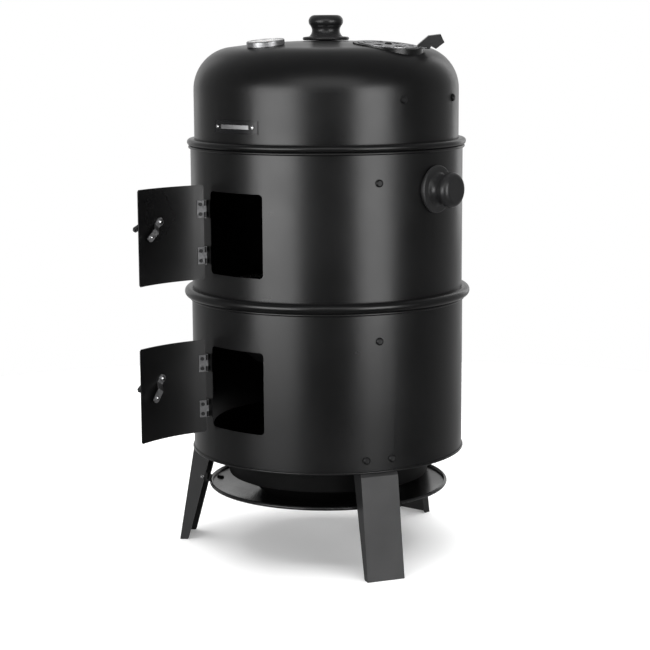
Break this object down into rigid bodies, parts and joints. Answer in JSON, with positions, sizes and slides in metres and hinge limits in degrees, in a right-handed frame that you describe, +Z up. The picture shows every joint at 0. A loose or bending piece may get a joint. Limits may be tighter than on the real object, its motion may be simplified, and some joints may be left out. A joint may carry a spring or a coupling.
{
  "type": "vertical water smoker",
  "caption": "Upright charcoal water smoker: domed lid with vent and thermometer over two barrel sections with hinged access doors, bowls, cooking grids and splayed channel legs.",
  "frame": {"origin": "on the axis of the barrel, at the height of the floor under the feet", "axes": "+Z up along the barrel axis; -Y is the front, from which the doors stand to the left"},
  "size_m": [0.4807, 0.4296, 0.7847],
  "materials": {
    "black_paint": "satin black heat-proof paint",
    "leg_paint": "semi-matt black paint",
    "pan_paint": "black enamel",
    "black_screw": "blackened steel",
    "zinc": "zinc plated steel",
    "grid_chrome": "chrome plated wire",
    "latch_steel": "stamped steel",
    "bright_rivet": "bright rivet",
    "handle_black": "black coated wire and sheet",
    "knob_plastic": "black moulded resin",
    "flange_black": "satin black",
    "plate_black": "black plate, blank",
    "case_steel": "stainless case",
    "dial_white": "white dial",
    "needle_red": "red needle",
    "lens_glass": "clear lens"
  },
  "bodies": {
    "base": {"lower_shell": "black_paint", "leg_front": "leg_paint", "leg_rear": "leg_paint", "leg_left": "leg_paint", "base_screws": "black_screw", "base_nuts": "zinc", "lower_brackets": "black_paint", "ash_pan": "pan_paint", "pan_hangers": "black_paint", "hanger_rivets": "bright_rivet", "lower_frame_hinges": "black_paint", "lower_frame_rivets": "black_paint", "lower_hinge_pins": "zinc"},
    "charcoal_bowl": {"charcoal_bowl": "pan_paint"},
    "water_bowl": {"water_bowl": "pan_paint"},
    "lower_grid": {"lower_grid": "grid_chrome"},
    "upper_grid": {"upper_grid": "grid_chrome"},
    "lower_door": {"lower_door_panel": "black_paint", "lower_door_hinges": "zinc", "lower_door_rivets": "black_screw"},
    "lower_latch": {"lower_latch_tongue": "latch_steel", "lower_latch_pivot": "bright_rivet", "lower_latch_handle": "handle_black"},
    "upper_section": {"upper_shell": "black_paint", "upper_brackets": "black_paint", "upper_screws": "black_screw", "upper_nuts": "zinc", "right_knob": "knob_plastic", "left_knob": "knob_plastic", "knob_flanges": "flange_black", "knob_bolts": "zinc", "upper_frame_hinges": "black_paint", "upper_frame_rivets": "black_paint", "upper_hinge_pins": "zinc"},
    "upper_door": {"upper_door_panel": "black_paint", "upper_door_hinges": "zinc", "upper_door_rivets": "black_screw"},
    "upper_latch": {"upper_latch_tongue": "latch_steel", "upper_latch_pivot": "bright_rivet", "upper_latch_handle": "handle_black"},
    "lid": {"lid_shell": "black_paint", "lid_knob": "knob_plastic", "lid_knob_flange": "flange_black", "lid_knob_bolt": "zinc", "lid_hanger": "black_paint", "hanger_screws": "black_screw", "hanger_nuts": "zinc", "nameplate": "plate_black", "nameplate_rivets": "bright_rivet", "thermometer_case": "case_steel", "thermometer_dial": "dial_white", "thermometer_lens": "lens_glass", "thermometer_stem": "case_steel", "thermometer_nut": "zinc", "vent_rivet": "black_screw"},
    "thermometer_needle": {"thermometer_needle": "needle_red"},
    "vent": {"vent_damper": "latch_steel", "vent_lever": "handle_black"}
  },
  "joints": [
    {"name": "upper_section_lift", "type": "slide", "parent": "base", "child": "upper_section", "axis": [0, 0, 1], "range_m": [0, 0.3]},
    {"name": "lid_lift", "type": "slide", "parent": "upper_section", "child": "lid", "axis": [0, 0, 1], "range_m": [0, 0.25]},
    {"name": "charcoal_bowl_lift", "type": "slide", "parent": "base", "child": "charcoal_bowl", "axis": [0, 0, 1], "range_m": [0, 0.05]},
    {"name": "water_bowl_lift", "type": "slide", "parent": "base", "child": "water_bowl", "axis": [0, 0, 1], "range_m": [0, 0.015]},
    {"name": "lower_grid_lift", "type": "slide", "parent": "base", "child": "lower_grid", "axis": [0, 0, 1], "range_m": [0, 0.15]},
    {"name": "upper_grid_lift", "type": "slide", "parent": "upper_section", "child": "upper_grid", "axis": [0, 0, 1], "range_m": [0, 0.015]},
    {"name": "lower_door_hinge", "type": "hinge", "parent": "base", "child": "lower_door", "pos_m": [-0.17273, -0.10835, 0.261], "axis": [0, 0, 1], "range_deg": [-50, 96]},
    {"name": "lower_latch_pivot", "type": "hinge", "parent": "lower_door", "child": "lower_latch", "pos_m": [-0.23244, -0.15851, 0.281], "axis": [-0.7471, 0.6647, 0], "range_deg": [-90, 55]},
    {"name": "upper_door_hinge", "type": "hinge", "parent": "upper_section", "child": "upper_door", "pos_m": [-0.17188, -0.10782, 0.482], "axis": [0, 0, 1], "range_deg": [-50, 96]},
    {"name": "upper_latch_pivot", "type": "hinge", "parent": "upper_door", "child": "upper_latch", "pos_m": [-0.23129, -0.15775, 0.502], "axis": [-0.7471, 0.6647, 0], "range_deg": [-90, 40]},
    {"name": "vent_turn", "type": "hinge", "parent": "lid", "child": "vent", "pos_m": [0.08776, -0.08184, 0.7425], "axis": [0.0866, -0.0808, 0.993], "range_deg": [-30, 10]},
    {"name": "thermometer_needle_turn", "type": "hinge", "parent": "lid", "child": "thermometer_needle", "pos_m": [-0.0845, -0.0845, 0.74205], "axis": [-0.0773, -0.0773, 0.994], "range_deg": [-250, 0]}
  ]
}
